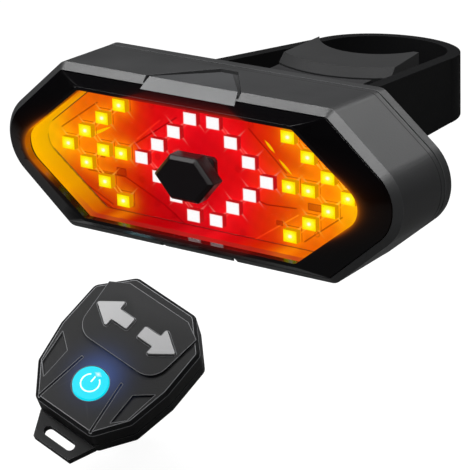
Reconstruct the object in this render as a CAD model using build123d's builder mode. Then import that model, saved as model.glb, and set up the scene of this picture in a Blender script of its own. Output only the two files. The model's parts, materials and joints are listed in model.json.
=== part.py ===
from build123d import *
from math import cos, radians, sin
import os

os.makedirs("parts", exist_ok=True)

# Bicycle turn signal lamp on its rubber-strap clamp, with its clip-on remote.
# Frame: millimetres, +Z up the clamp's bore, the lamp faces -Y, the rider's right is +X.
# The origin is on the bore's axis at the lamp's mid height.

# Driving dimensions of the whole set
overrun = 5.0              # how far a cut runs past the face that it opens
clamp_bore = 30.9          # bore that the strap and the saddle pad close on
saddle_bore = 22.2         # bore under the remote
lamp_reach = 75.0          # bore's axis to the light-giving faces of the lamp
seat_gap = 0.1             # still pieces laid into a recess
slide_gap = 0.3            # pieces that slide past each other
screw_gap = 0.1            # screw shank to the hole that it passes

# Lamp casing, front outline at the bevel and rear outline at the parting line
front_reach, front_rise = 59.7, 19.85
front_slope = 23.2         # side tip to shoulder
rear_grow, rear_taper = 0.3, 0.6
nose_radius = 11.0         # rounding of the two side tips
shoulder_radius = 3.0      # rounding of the four other corners
bevel_width = 1.6                # 45 degree bevel round the front
bevel_depth = 2.4          # from the light-giving faces forward to the bevel's back edge
casing_wall = 2.2
housing_length = 16.8      # bevel's back edge to the parting line
parting_gap = 0.4          # groove that the seal shows in
cover_depth = 4.2          # rear cover, parting line to its back face
cover_wall = 2.0
cover_slant = 1.8

# Gloss front cover and the clear window in it
frame_wide, frame_shoulder, frame_high = 11.4, 7.5, 4.65    # casing outline to the window
window_nose, window_corner = 5.0, 1.5
gloss_proud = 0.2          # front cover's rim stands out of the bevel by this
gloss_thick = 1.8
gloss_rise = 2.8           # faceted frame, from the cover's rim out to the window
frame_lip = 0.8            # flat edge round the window
light_drop = 0.8           # lights and button below the casing's middle
ledge_width = 1.5          # shelf in the housing that the front cover is bonded to
ledge_thick = 1.8
lens_flange = 1.0          # how far the lens reaches behind the front cover
lens_flange_thick = 1.4
lens_raise = 1.0           # lens stands this far into the window
surround_wall = 1.0

# Hexagonal mode button in the middle of the window
button_reach, button_shoulder, button_rise = 8.2, 3.7, 5.2
button_bevel = 0.9
button_proud = 1.8         # above the lens
button_gap = 0.4
button_travel = 0.5
button_flange, button_flange_thick = 1.2, 0.8
stem_radius = 1.8
switch_side, switch_height = 6.0, 1.2
switch_cap_radius, switch_cap_height = 1.7, 0.5

# Circuit board and what stands on it
board_thick = 1.6
led_wide, led_high, led_thick = 3.5, 2.8, 1.5
led_window_share = 0.78    # glowing well of a light, share of its package
led_well = 0.15
red_columns = 10.32        # red column pitches in the window's half width
red_row_pitch = 3.8
amber_tip_share = 0.793    # outermost amber light, share of the window's half width
amber_columns = 9.47       # amber column pitches in the window's half width
amber_row_pitch = 3.8
chip_long, chip_high = 4.0, 2.4
chip_thick = 0.9
radio_wide, radio_high, radio_thick = 16.0, 11.0, 2.2
radio_inset, radio_low = 15.2, -4.0
socket_wide, socket_thick, socket_deep, socket_wall = 8.9, 3.2, 7.0, 0.3
tongue_thick, tongue_deep = 0.7, 3.6

# Battery, its cradle and pad
cell_long, cell_high, cell_thick = 50.0, 27.0, 6.4
cell_edge = 2.0
cradle_wall, cradle_rim = 1.2, 3.0
cradle_leg = 4.0
cradle_leg_x, cradle_leg_z = 24.0, 11.5

# Seal, screws and their bosses
seal_wide, seal_inset = 1.1, 0.7
boss_radius, boss_inset, boss_sink = 2.6, 18.5, 9.65
screw_radius, screw_length = 1.1, 10.0
screw_head_radius, screw_head_thick, screw_recess = 2.0, 1.3, 1.7

# Trims let into the top and the bottom of the casing's front edge
trim_half, trim_apex_half, trim_back = 12.0, 1.6, 12.7
trim_thick, trim_groove = 1.3, 0.9
low_trim_half, low_trim_apex_half, low_trim_back = 9.5, 5.5, 3.6

# Charging port cover, a rubber flap under the casing
flap_long, flap_wide, flap_thick, flap_pocket = 13.4, 6.3, 0.9, 1.05
flap_sunk = 0.35
flap_gap = 0.3
plug_long, plug_thick, plug_tall = 8.4, 2.5, 1.1
port_gap = 0.7
flap_hinge_back = 7.15     # hinge line behind the light-giving faces
pull_tab = 1.6

# Slide rails on the rear cover and the bracket plate that they hang on
plate_half, plate_thick, plate_high = 14.0, 3.0, 25.0
plate_top = 11.0
rail_wall, rail_lip = 2.3, 2.4
stop_thick = 2.6
plate_stand = 2.0          # bracket plate behind the rear cover

# Bracket, saddle pad and strap round the clamp bore
neck_half, neck_top, neck_low = 9.0, 9.0, -11.5
neck_share = 0.46          # bracket's half width at the saddle, share of the saddle radius
saddle_radius = 28.5
saddle_top, saddle_low, saddle_left = 11.2, -12.8, -13.5
saddle_bevel = 2.0
hook_side, hook_depth = 22.0, 30.0
hook_radius, hook_head_radius, hook_head_thick = 2.0, 2.7, 1.4
eye_gap = 0.15
eye_wall = 2.5
strap_thick = 3.2
strap_top_front, strap_top_back = 12.2, 5.7
strap_low_front, strap_low_waist, strap_low_back = -9.4, -7.3, -9.3
wing_thick = 3.0
strap_ease = 0.6

# Remote: outline of its face, half widths and heights along and across its saddle bore
face_top_half, face_top = 10.9, 22.8
face_side_half, face_side = 19.8, 13.8
face_waist_half, face_waist = 20.0, -1.0
face_low_half, face_low = 17.6, -14.0
face_foot_half, face_foot = 10.4, -23.6
face_corner = 2.6
remote_place = (-100.5, 15.0, -99.5)
face_tilt = 21.0           # saddle bore falls to the right by this many degrees
face_lean = 36.0           # face leans towards the rider by this many degrees
plate_raise = 0.8          # raised key plate above the face
shell_height, base_height = 6.7, 4.8
shell_wall, shell_top = 1.6, 1.8
shell_bevel = 1.1
key_plate_half, key_plate_top = 16.3, 16.6
key_plate_low_half, key_plate_low = 14.4, -0.8
key_plate_corner = 6.0
groove_half, groove_wide, groove_sunk = 9.4, 0.7, 0.5
groove_top_half, groove_top = 7.0, -6.0
panel_sunk = 0.6

# Remote keys
arrow_mid, arrow_inner, arrow_neck, arrow_tip = 9.4, 2.0, 7.6, 14.7
arrow_half, arrow_shaft_half = 4.8, 1.95
key_round = 0.5
key_proud, key_gap, key_travel = 0.8, 0.3, 0.5
key_flange, key_flange_thick = 0.9, 0.6
pill_radius = 1.2
power_radius, power_mid = 5.2, -11.2
power_proud = 0.5

# Remote inside and underneath
remote_board_thick = 1.0
remote_board_inset = 0.8
remote_switch_side, remote_switch_height = 4.0, 0.9
coin_radius, coin_thick, coin_mid = 10.0, 3.2, -1.0
clip_wide, clip_thick = 6.0, 0.4
remote_seal_thick = 0.4
remote_screw_radius, remote_screw_head, remote_screw_length = 0.9, 1.6, 7.0
remote_boss_radius = 2.0
remote_screw_high = (9.0, 19.1)
remote_screw_low = (14.6, -10.0)
loop_half, loop_end_half, loop_reach = 10.2, 6.6, 7.4
loop_thick, loop_slot_long, loop_slot_wide = 2.6, 11.0, 3.0
pad_thick, pad_half, pad_inset = 1.5, 10.0, 0.1
pad_skirt = 8.0
band_thick, band_half = 2.4, 6.5
lug_reach, lug_drop, lug_radius, lug_wall = 15.0, 3.9, 1.5, 1.6
band_eye_wall = 2.0

# Outlines that follow from the casing's front
front_shoulder = front_reach - front_slope
rear_reach, rear_shoulder = front_reach + rear_grow, front_shoulder + rear_grow
rear_rise = front_rise - rear_taper
window_reach, window_shoulder = front_reach - frame_wide, front_shoulder - frame_shoulder
window_rise = front_rise - frame_high
boss_x, boss_z = front_reach - boss_inset, front_rise - boss_sink
red_column_pitch = window_reach / red_columns
red_lead = red_column_pitch * 2 / 3
amber_tip = window_reach * amber_tip_share
amber_pitch = window_reach / amber_columns

# Depths in the lamp, measured back from the light-giving faces
bevel_front = -bevel_depth - bevel_width
gloss_rim = bevel_front - gloss_proud
gloss_back = gloss_rim + gloss_thick
gloss_front = gloss_rim - gloss_rise
frame_back = gloss_front + gloss_thick
ledge_back = gloss_back + ledge_thick
lens_back = frame_back + lens_flange_thick
lens_front = frame_back - lens_raise
board_front = led_thick
board_back = board_front + board_thick
parting = housing_length - bevel_depth
cover_front = parting + parting_gap
cover_back = cover_front + cover_depth
cover_inside = cover_back - cover_wall
plate_front = cover_back + plate_stand
plate_back = plate_front + plate_thick
clamp_radius = clamp_bore / 2
bore_radius = saddle_bore / 2
pad_span = bore_radius - pad_inset


def facing(depth):
    """Plane across the lamp at a depth behind its lights, facing forward."""
    return Plane(origin=(0, depth - lamp_reach, 0), x_dir=(1, 0, 0), z_dir=(0, -1, 0))


def hexagon(depth, reach, shoulder, rise, nose, corner, grow=0):
    """Long hexagon with rounded side tips, grown or shrunk evenly."""
    with BuildSketch(facing(depth)) as outline:
        with BuildLine():
            Polyline((reach, 0), (shoulder, rise), (-shoulder, rise), (-reach, 0),
                     (-shoulder, -rise), (shoulder, -rise), close=True)
        make_face()
        tips = outline.vertices().sort_by(Axis.X)
        fillet([tips[0], tips[-1]], nose)
        level = outline.vertices().group_by(Axis.Y)
        fillet(level[0] + level[-1], corner)
        if grow:
            offset(amount=grow, kind=Kind.INTERSECTION)
    return outline.sketch


def casing(depth, grow=0):
    """Front outline of the casing, grown by grow."""
    return hexagon(depth, front_reach, front_shoulder, front_rise, nose_radius, shoulder_radius, grow)


def back_casing(depth, grow=0):
    """Rear outline of the casing at the parting line, grown by grow."""
    return hexagon(depth, rear_reach, rear_shoulder, rear_rise, nose_radius, shoulder_radius, grow)


def window(depth, grow=0):
    """Outline of the clear window, grown by grow."""
    return hexagon(depth, window_reach, window_shoulder, window_rise, window_nose, window_corner, grow)


def button_outline(depth, grow=0):
    """Outline of the mode button, grown by grow."""
    with BuildSketch(facing(depth)) as outline:
        with Locations((0, -light_drop)):
            Polygon((button_reach, 0), (button_shoulder, button_rise), (-button_shoulder, button_rise),
                    (-button_reach, 0), (-button_shoulder, -button_rise), (button_shoulder, -button_rise))
        if grow:
            offset(amount=grow, kind=Kind.INTERSECTION)
    return outline.sketch


def trim_outline(height, half, apex_half, back, grow=0):
    """Trapezoid let into the casing from its front edge, seen from above."""
    front = bevel_front - lamp_reach
    knee = front + bevel_width
    with BuildSketch(Plane.XY.offset(height)) as outline:
        Polygon((-half - grow, front - overrun), (half + grow, front - overrun), (half + grow, knee),
                (apex_half + grow, knee + back + grow), (-apex_half - grow, knee + back + grow),
                (-half - grow, knee))
    return outline.sketch


# Places
flap_face = flap_sunk - front_rise
flap_hinge_y, flap_hinge_z = flap_hinge_back - lamp_reach, flap_face + flap_thick / 2
flap_mid = flap_hinge_y + (flap_thick - flap_wide) / 2
boss_places = [(boss_x, boss_z), (-boss_x, boss_z), (boss_x, -boss_z), (-boss_x, -boss_z)]
red_places = [(side * (red_lead + step * red_column_pitch), rise * (3 - step) * red_row_pitch - light_drop)
              for step in range(3) for side in (-1, 1) for rise in (-1, 1)]
red_places += [(side * (red_lead + 3 * red_column_pitch), -light_drop) for side in (-1, 1)]


def amber_places(side):
    """Arrow of lights that points outwards on one side."""
    arms = [(amber_tip - step * amber_pitch, rise * step * amber_row_pitch)
            for step in (1, 2, 3) for rise in (-1, 1)]
    shaft = [(amber_tip - step * amber_pitch, 0) for step in (0, 2, 3)]
    return [(side * x, z - light_drop) for x, z in arms + shaft]


# Whole outer form of the front housing, bevelled in front
with BuildPart() as housing_block:
    loft([casing(-bevel_depth).face(), back_casing(parting).face()], ruled=True)
    loft([casing(bevel_front, -bevel_width).face(), casing(-bevel_depth).face()], ruled=True)

# Front housing: shell with a shelf for the front cover, pockets for the trims and the charging flap
with BuildPart() as front_housing:
    add(housing_block.part)
    extrude(casing(bevel_front - overrun, -bevel_width - seat_gap),
            amount=-overrun - (gloss_back - bevel_front), mode=Mode.SUBTRACT)
    extrude(casing(gloss_back, -bevel_width - ledge_width), amount=-ledge_thick, mode=Mode.SUBTRACT)
    extrude(casing(ledge_back, -casing_wall), amount=-(parting - ledge_back) - overrun, mode=Mode.SUBTRACT)
    with BuildSketch(facing(board_back + slide_gap)):
        with Locations(*boss_places):
            Circle(boss_radius)
    extrude(amount=-(parting - board_back - slide_gap))
    with BuildSketch(facing(parting)):
        with Locations(*boss_places):
            Circle(screw_radius)
    extrude(amount=screw_length, mode=Mode.SUBTRACT)
    extrude(trim_outline(front_rise - trim_thick, trim_half, trim_apex_half, trim_back, trim_groove),
            amount=trim_thick + overrun, mode=Mode.SUBTRACT)
    extrude(trim_outline(trim_thick - front_rise, low_trim_half, low_trim_apex_half, low_trim_back,
                         trim_groove),
            amount=-trim_thick - overrun, mode=Mode.SUBTRACT)
    with BuildSketch(Plane.XY.offset(flap_face + flap_pocket)):
        with Locations((0, flap_mid)):
            Rectangle(flap_long + 2 * flap_gap, flap_wide + 2 * flap_gap)
    extrude(amount=-flap_pocket - overrun, mode=Mode.SUBTRACT)
    with BuildSketch(Plane.XY.offset(-front_rise)):
        with Locations((0, board_back + socket_thick / 2 - lamp_reach)):
            SlotOverall(plug_long + 2 * port_gap, plug_thick + 2 * port_gap)
    extrude(amount=casing_wall + overrun, mode=Mode.SUBTRACT)
front_housing.part.label = "front_housing"

# Trims, cut from the same outer form so that they lie flush in their pockets
with BuildPart() as top_trim:
    add(housing_block.part)
    extrude(trim_outline(front_rise - trim_thick + seat_gap, trim_half, trim_apex_half, trim_back),
            amount=trim_thick + overrun, mode=Mode.INTERSECT)
top_trim.part.label = "top_trim"

with BuildPart() as bottom_trim:
    add(housing_block.part)
    extrude(trim_outline(trim_thick - front_rise - seat_gap, low_trim_half, low_trim_apex_half,
                         low_trim_back),
            amount=-trim_thick - overrun, mode=Mode.INTERSECT)
bottom_trim.part.label = "bottom_trim"

# Gloss front cover: a faceted frame that rises to its window, hollow behind
with BuildPart() as front_cover:
    rim = casing(gloss_rim, -bevel_width - 2 * seat_gap)
    extrude(rim, amount=-gloss_thick)
    loft([rim.face(), window(gloss_front, frame_lip).face()], ruled=True)
    hollow = casing(gloss_back, -bevel_width - ledge_width)
    loft([hollow.face(), window(frame_back, lens_flange + seat_gap).face()], ruled=True, mode=Mode.SUBTRACT)
    extrude(window(gloss_back + overrun), amount=3 * overrun, mode=Mode.SUBTRACT)
front_cover.part.label = "front_cover"

# Clear lens: a flange behind the front cover, a raised middle in the window and a hole for the button
with BuildPart() as clear_lens:
    extrude(window(lens_back, lens_flange), amount=lens_flange_thick)
    extrude(window(frame_back, -seat_gap), amount=lens_raise)
    chamfer(clear_lens.faces().sort_by(Axis.Y)[0].edges(), lens_raise / 3)
    extrude(button_outline(lens_back + overrun, button_gap), amount=3 * overrun, mode=Mode.SUBTRACT)
clear_lens.part.label = "clear_lens"

# Surround: the light wall between the lens and the board
with BuildPart() as light_surround:
    extrude(window(lens_back, surround_wall), amount=-(board_front - lens_back))
    extrude(window(lens_back - overrun), amount=-(board_front - lens_back) - 2 * overrun, mode=Mode.SUBTRACT)
light_surround.part.label = "light_surround"

# Board in the window's outline
with BuildPart() as led_board:
    extrude(window(board_front, surround_wall), amount=-board_thick)
led_board.part.label = "led_board"


def light_group(places):
    """Square light packages with a shallow glowing well, one at each place."""
    with BuildPart() as group:
        with BuildSketch(facing(board_front)):
            with Locations(*places):
                Rectangle(led_wide, led_high)
        extrude(amount=led_thick)
        with BuildSketch(facing(0)):
            with Locations(*places):
                Rectangle(led_wide * led_window_share, led_high * led_window_share)
        extrude(amount=-led_well, mode=Mode.SUBTRACT)
    return group.part


red_leds = light_group(red_places)
red_leds.label = "red_leds"
left_amber_leds = light_group(amber_places(-1))
left_amber_leds.label = "left_amber_leds"
right_amber_leds = light_group(amber_places(1))
right_amber_leds.label = "right_amber_leds"

# Driver chips on the back of the board
with BuildPart() as board_chips:
    with BuildSketch(facing(board_back)):
        with GridLocations(chip_long * 4, chip_high * 4, 3, 2):
            with Locations((cradle_leg_x / 2, 0)):
                Rectangle(chip_long, chip_high)
    extrude(amount=-chip_thick)
board_chips.part.label = "board_chips"

with BuildPart() as radio_module:
    with BuildSketch(facing(board_back)):
        with Locations((radio_inset - boss_x, radio_low)):
            Rectangle(radio_wide, radio_high)
    extrude(amount=-radio_thick)
    fillet(radio_module.edges().filter_by(Axis.Y), socket_wall)
radio_module.part.label = "radio_module"

# Tactile switch under the mode button
with BuildPart() as mode_switch:
    with BuildSketch(facing(board_front)):
        with Locations((0, -light_drop)):
            Rectangle(switch_side, switch_side)
    extrude(amount=switch_height)
    chamfer(mode_switch.edges().filter_by(Axis.Y), switch_side / 8)
    with BuildSketch(facing(board_front - switch_height)):
        with Locations((0, -light_drop)):
            Circle(switch_cap_radius)
    extrude(amount=switch_cap_height)
mode_switch.part.label = "mode_switch"

# Mode button: bevelled hexagonal cap, a flange that holds it behind the lens, and its stem
button_top = lens_front - button_proud
flange_front = lens_back + seat_gap
stem_end = board_front - switch_height - switch_cap_height - button_travel - seat_gap
with BuildPart() as mode_button:
    extrude(button_outline(button_top), amount=-(flange_front - button_top))
    chamfer(mode_button.faces().sort_by(Axis.Y)[0].edges(), button_bevel)
    extrude(button_outline(flange_front, button_flange), amount=-button_flange_thick)
    with BuildSketch(facing(flange_front)):
        with Locations((0, -light_drop)):
            Circle(stem_radius)
    extrude(amount=-(stem_end - flange_front))
mode_button.part.label = "mode_button"

# Charging socket: open metal shell with its tongue, mouth down
socket_mouth = casing_wall - front_rise + seat_gap * 4
socket_mid = board_back + socket_thick / 2 - lamp_reach
with BuildPart() as usb_socket:
    with BuildSketch(Plane.XY.offset(socket_mouth)):
        with Locations((0, socket_mid)):
            SlotOverall(socket_wide, socket_thick)
    extrude(amount=socket_deep)
    with BuildSketch(Plane.XY.offset(socket_mouth)):
        with Locations((0, socket_mid)):
            SlotOverall(socket_wide - 2 * socket_wall, socket_thick - 2 * socket_wall)
    extrude(amount=socket_deep - socket_wall, mode=Mode.SUBTRACT)
    with BuildSketch(Plane.XY.offset(socket_mouth + socket_deep - socket_wall)):
        with Locations((0, socket_mid)):
            Rectangle(socket_wide * 0.6, tongue_thick)
    extrude(amount=-tongue_deep)
usb_socket.part.label = "usb_socket"

# Charging flap: rubber leaf, round hinge bead, plug that seals the port, and a pull tab
with BuildPart() as usb_cover:
    with BuildSketch(Plane.XY.offset(flap_face)):
        with Locations((0, flap_hinge_y - (flap_wide - flap_thick / 2) / 2)):
            Rectangle(flap_long, flap_wide - flap_thick / 2)
    extrude(amount=flap_thick)
    with BuildSketch(Plane.YZ.offset(-flap_long / 2)):
        with Locations((flap_hinge_y, flap_hinge_z)):
            Circle(flap_thick / 2)
    extrude(amount=flap_long)
    with BuildSketch(Plane.XY.offset(flap_face + flap_thick)):
        with Locations((0, socket_mid)):
            SlotOverall(plug_long, plug_thick)
    extrude(amount=plug_tall)
    with BuildSketch(Plane.XY.offset(flap_face)):
        with Locations((0, flap_mid - flap_wide / 2 + pull_tab / 2)):
            Rectangle(flap_long / 2, pull_tab)
    extrude(amount=-flap_gap)
usb_cover.part.label = "usb_cover"

# Battery cradle on four legs behind the board, the cell in it and its foam pad
cell_back = cover_inside - seat_gap - 1.2 * cradle_wall
cell_front = cell_back - cell_thick
cradle_front = cell_front - cradle_wall
with BuildPart() as battery_cradle:
    with BuildSketch(facing(cradle_front)):
        Rectangle(cell_long + 2 * (cradle_wall + seat_gap), cell_high + 2 * (cradle_wall + seat_gap))
    extrude(amount=-cradle_wall - cradle_rim)
    with BuildSketch(facing(cell_front)):
        Rectangle(cell_long + 2 * seat_gap, cell_high + 2 * seat_gap)
    extrude(amount=-cradle_rim - overrun, mode=Mode.SUBTRACT)
    with BuildSketch(facing(cradle_front)):
        with Locations((cradle_leg_x, cradle_leg_z), (-cradle_leg_x, cradle_leg_z),
                       (cradle_leg_x, -cradle_leg_z), (-cradle_leg_x, -cradle_leg_z)):
            Rectangle(cradle_leg, cradle_leg)
    extrude(amount=cradle_front - board_back)
battery_cradle.part.label = "battery_cradle"

with BuildPart() as battery_cell:
    with BuildSketch(facing(cell_front)):
        Rectangle(cell_long, cell_high)
    extrude(amount=-cell_thick)
    fillet(battery_cell.edges().filter_by(Axis.Z), cell_edge)
battery_cell.part.label = "battery_cell"

with BuildPart() as battery_pad:
    with BuildSketch(facing(cell_back)):
        Rectangle(cell_long * 0.7, cell_high * 0.6)
    extrude(amount=-(cover_inside - cell_back))
battery_pad.part.label = "battery_pad"

# Seal in the parting groove
with BuildPart() as housing_seal:
    extrude(back_casing(parting, -seal_inset), amount=-parting_gap)
    extrude(back_casing(parting - overrun, -seal_inset - seal_wide), amount=-parting_gap - 2 * overrun,
            mode=Mode.SUBTRACT)
housing_seal.part.label = "housing_seal"

# Rear cover: rounded lid with screw wells and the two rails that hang on the bracket
rail_inner = plate_half + slide_gap
rail_outer = rail_inner + rail_wall
rail_back = plate_back + slide_gap + rail_wall
rail_drop = plate_top - strap_low_front - slide_gap
with BuildPart() as rear_cover:
    extrude(back_casing(cover_front), amount=-cover_depth)
    chamfer(rear_cover.faces().sort_by(Axis.Y)[-1].edges(), cover_slant)
    extrude(back_casing(cover_front, -casing_wall), amount=-(cover_inside - cover_front), mode=Mode.SUBTRACT)
    with BuildSketch(facing(cover_front)):
        with Locations(*boss_places):
            Circle(boss_radius)
    extrude(amount=-cover_depth + screw_recess)
    with BuildSketch(facing(cover_back)):
        with Locations(*boss_places):
            Circle(screw_head_radius + screw_gap)
    extrude(amount=screw_recess, mode=Mode.SUBTRACT)
    with BuildSketch(facing(cover_back)):
        with Locations(*boss_places):
            Circle(screw_radius + screw_gap)
    extrude(amount=cover_depth + casing_wall + overrun, mode=Mode.SUBTRACT)
    for side in (-1, 1):
        with BuildSketch(Plane.XY.offset(plate_top + stop_thick)):
            wall_mid = side * (rail_inner + rail_wall / 2)
            lip_mid = side * (rail_outer - (rail_wall + rail_lip) / 2)
            with Locations((wall_mid, (cover_back + rail_back) / 2 - lamp_reach)):
                Rectangle(rail_wall, rail_back - cover_back)
            with Locations((lip_mid, rail_back - rail_wall / 2 - lamp_reach)):
                Rectangle(rail_wall + rail_lip, rail_wall)
        extrude(amount=-stop_thick - rail_drop)
    with BuildSketch(Plane.XY.offset(plate_top)):
        with Locations((0, (cover_back + plate_back) / 2 - lamp_reach)):
            Rectangle(2 * rail_inner, plate_back - cover_back)
    extrude(amount=stop_thick)
rear_cover.part.label = "rear_cover"

# Case screws: four, from behind into the bosses
with BuildPart() as case_screws:
    with BuildSketch(facing(cover_back - screw_recess)):
        with Locations(*boss_places):
            Circle(screw_head_radius)
    extrude(amount=-screw_head_thick)
    with BuildSketch(facing(cover_back - screw_recess)):
        with Locations(*boss_places):
            Circle(screw_radius - screw_gap / 2)
    extrude(amount=screw_length)
case_screws.part.label = "case_screws"

# Bracket: plate for the rails, neck to the saddle, wings and hooks for the strap
hook_y = hook_depth - lamp_reach
wing_top = strap_low_front - seat_gap
hook_top = strap_top_front + seat_gap
neck_spread = saddle_radius * neck_share
with BuildPart() as strap_bracket:
    with BuildSketch(Plane.XY.offset(plate_top)):
        with Locations((0, (plate_front + plate_back) / 2 - lamp_reach)):
            Rectangle(2 * plate_half, plate_thick)
    extrude(amount=-plate_high)
    chamfer(strap_bracket.edges().filter_by(Axis.Y).group_by(Axis.Z)[-1], plate_thick / 3)
    with BuildSketch(Plane.XY.offset(neck_low)):
        with BuildLine():
            Polyline((neck_half, plate_back - lamp_reach), (-neck_half, plate_back - lamp_reach),
                     (-neck_spread, hook_y + hook_radius), (-neck_spread, -clamp_radius),
                     (neck_spread, -clamp_radius), (neck_spread, hook_y + hook_radius), close=True)
        make_face()
        Circle(saddle_radius + slide_gap, mode=Mode.SUBTRACT)
    extrude(amount=neck_top - neck_low)
    with BuildSketch(Plane.XY.offset(wing_top - wing_thick)):
        with Locations((0, hook_y)):
            SlotOverall(2 * (hook_side + hook_radius + eye_wall), 2 * (hook_radius + eye_wall))
    extrude(amount=wing_thick)
    with BuildSketch(Plane.XY.offset(wing_top)):
        with Locations((-hook_side, hook_y), (hook_side, hook_y)):
            Circle(hook_radius)
    extrude(amount=hook_top - wing_top)
    with BuildSketch(Plane.XY.offset(hook_top)):
        with Locations((-hook_side, hook_y), (hook_side, hook_y)):
            Circle(hook_head_radius)
    extrude(amount=hook_head_thick)
    chamfer(strap_bracket.faces().sort_by(Axis.Z)[-2:].edges(), hook_head_thick / 2)
strap_bracket.part.label = "strap_bracket"

# Strap: one band from hook to hook round the back of the bore, waisted where it meets the pad
eye_radius = hook_radius + eye_gap + eye_wall
strap_outer = clamp_radius + strap_thick
with BuildPart() as rubber_strap:
    with BuildSketch(Plane.XY.offset(strap_low_front)):
        Circle(strap_outer)
        Circle(clamp_radius, mode=Mode.SUBTRACT)
        with Locations((0, strap_outer / 2)):
            Rectangle(2 * strap_outer, strap_outer, mode=Mode.INTERSECT)
        for side in (-1, 1):
            Polygon((side * clamp_radius, 0), (side * strap_outer, 0),
                    (side * (hook_side + strap_thick / 2), hook_y),
                    (side * (hook_side - strap_thick / 2), hook_y), align=None)
        with Locations((-hook_side, hook_y), (hook_side, hook_y)):
            Circle(eye_radius)
            Circle(hook_radius + eye_gap, mode=Mode.SUBTRACT)
    extrude(amount=strap_top_front - strap_low_front)
    with BuildSketch(Plane.YZ.offset(-hook_side - overrun - eye_radius)):
        front_y, eye_back = hook_y - eye_radius - overrun, hook_y + eye_radius
        back_y = strap_outer + overrun
        Polygon((front_y, strap_low_front), (eye_back, strap_low_front), (-clamp_radius, strap_low_waist),
                (back_y, strap_low_back), (back_y, strap_top_back), (eye_back, strap_top_front),
                (front_y, strap_top_front), align=None)
    extrude(amount=2 * (hook_side + overrun + eye_radius), mode=Mode.INTERSECT)
rubber_strap.part.label = "rubber_strap"

# Saddle pad: thick rubber block between the bracket and the bore, inside the strap
with BuildPart() as saddle_pad:
    with BuildSketch(Plane.XY.offset(saddle_low)):
        Circle(saddle_radius)
        with BuildLine():
            slant = (hook_side - strap_thick / 2 - clamp_radius) / abs(hook_y)
            near = clamp_radius - strap_ease
            Polyline((-near * 0.86, -clamp_radius * 0.5), (near, -clamp_radius * 0.5),
                     (near + slant * saddle_radius, -saddle_radius - overrun),
                     (saddle_left, -saddle_radius - overrun), (saddle_left, -clamp_radius * 0.5), close=True)
        make_face(mode=Mode.INTERSECT)
        Circle(clamp_radius, mode=Mode.SUBTRACT)
    extrude(amount=saddle_top - saddle_low)
    rim = saddle_pad.faces().sort_by(Axis.Z)[-1].edges().filter_by(GeomType.CIRCLE).sort_by(Axis.Y)[0]
    chamfer(rim, saddle_bevel)
saddle_pad.part.label = "saddle_pad"

# Remote frame: x along the saddle bore, y up the face, z out of the face
tilt, lean = radians(face_tilt), radians(face_lean)
along = Vector(cos(tilt), 0, -sin(tilt))
out_of_face = Vector(sin(tilt) * cos(lean), -sin(lean), cos(tilt) * cos(lean))
remote_face = Plane(origin=remote_place, x_dir=along, z_dir=out_of_face)
remote_side = Plane(origin=remote_place, x_dir=remote_face.y_dir, z_dir=along)
face_axis = Axis(remote_place, out_of_face)
face_level = -plate_raise
shell_foot = face_level - shell_height
base_foot = shell_foot - remote_seal_thick - base_height
bore_level = base_foot - pad_thick - bore_radius


def face_outline(level, grow=0):
    """Outline of the remote at a level out of its face."""
    half = [(face_top_half, face_top), (face_side_half, face_side), (face_waist_half, face_waist),
            (face_low_half, face_low), (face_foot_half, face_foot)]
    with BuildSketch(remote_face.offset(level)) as outline:
        Polygon(*half, *[(-x, y) for x, y in reversed(half)], align=None)
        fillet(outline.vertices(), face_corner)
        if grow:
            offset(amount=grow, kind=Kind.INTERSECTION)
    return outline.sketch


def arrow_outline(level, side, grow=0):
    """Arrow key that points outwards on one side."""
    with BuildSketch(remote_face.offset(level)) as outline:
        tip, neck, inner = side * arrow_tip, side * arrow_neck, side * arrow_inner
        high, low = arrow_mid + arrow_shaft_half, arrow_mid - arrow_shaft_half
        Polygon((tip, arrow_mid), (neck, arrow_mid + arrow_half), (neck, high), (inner, high), (inner, low),
                (neck, low), (neck, arrow_mid - arrow_half), align=None)
        fillet(outline.vertices(), key_round)
        if grow:
            offset(amount=grow, kind=Kind.INTERSECTION)
    return outline.sketch


def disc(level, x, y, radius):
    """Round outline on the remote."""
    with BuildSketch(remote_face.offset(level)) as outline:
        with Locations((x, y)):
            Circle(radius)
    return outline.sketch


remote_screw_places = [(side * x, y) for x, y in (remote_screw_high, remote_screw_low) for side in (-1, 1)]

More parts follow.
